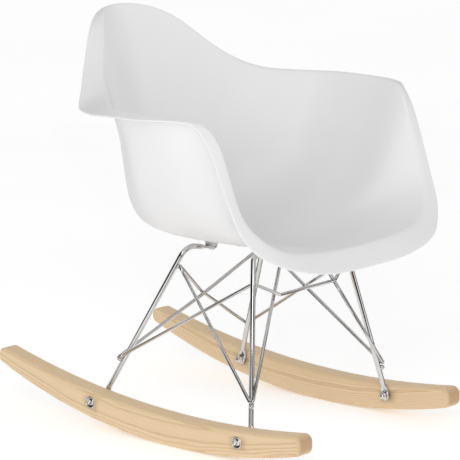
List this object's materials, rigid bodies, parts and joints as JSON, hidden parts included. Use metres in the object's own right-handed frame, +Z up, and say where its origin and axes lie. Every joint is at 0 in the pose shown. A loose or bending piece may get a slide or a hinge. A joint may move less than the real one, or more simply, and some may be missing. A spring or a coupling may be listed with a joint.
{
  "type": "rocking armchair",
  "caption": "Rocking chair with a moulded bucket seat and arms, a chromed rod and wire base, and two bowed wooden rockers.",
  "frame": {"origin": "middle of the footprint of the whole chair, on the floor", "axes": "+Z up, the sitter faces -Y, +X is the sitter's left"},
  "size_m": [0.6076, 0.676, 0.6899],
  "materials": {
    "shell_plastic": "white moulded plastic, fine satin",
    "boss_plastic": "white moulded plastic",
    "chrome_rod": "bright chrome plate",
    "chrome_wire": "bright chrome plate",
    "weld_metal": "chrome plate over a weld bead",
    "rocker_wood": "pale hardwood, clear satin lacquer",
    "bolt_steel": "zinc plated steel",
    "insert_brass": "turned brass"
  },
  "bodies": {
    "root": {"seat_shell": "shell_plastic", "mount_pads": "boss_plastic", "leg_front_left": "chrome_rod", "leg_front_right": "chrome_rod", "leg_rear_left": "chrome_rod", "leg_rear_right": "chrome_rod", "side_wire_left": "chrome_wire", "side_wire_right": "chrome_wire", "rear_wire_left": "chrome_wire", "rear_wire_right": "chrome_wire", "front_wire": "chrome_wire", "weld_beads": "weld_metal", "rocker_left": "rocker_wood", "rocker_right": "rocker_wood", "rocker_bolts": "bolt_steel", "bolt_cups": "bolt_steel", "inner_washers": "bolt_steel", "dome_nuts": "bolt_steel", "seat_bolts": "bolt_steel", "seat_washers": "bolt_steel", "threaded_inserts": "insert_brass"}
  },
  "joints": []
}
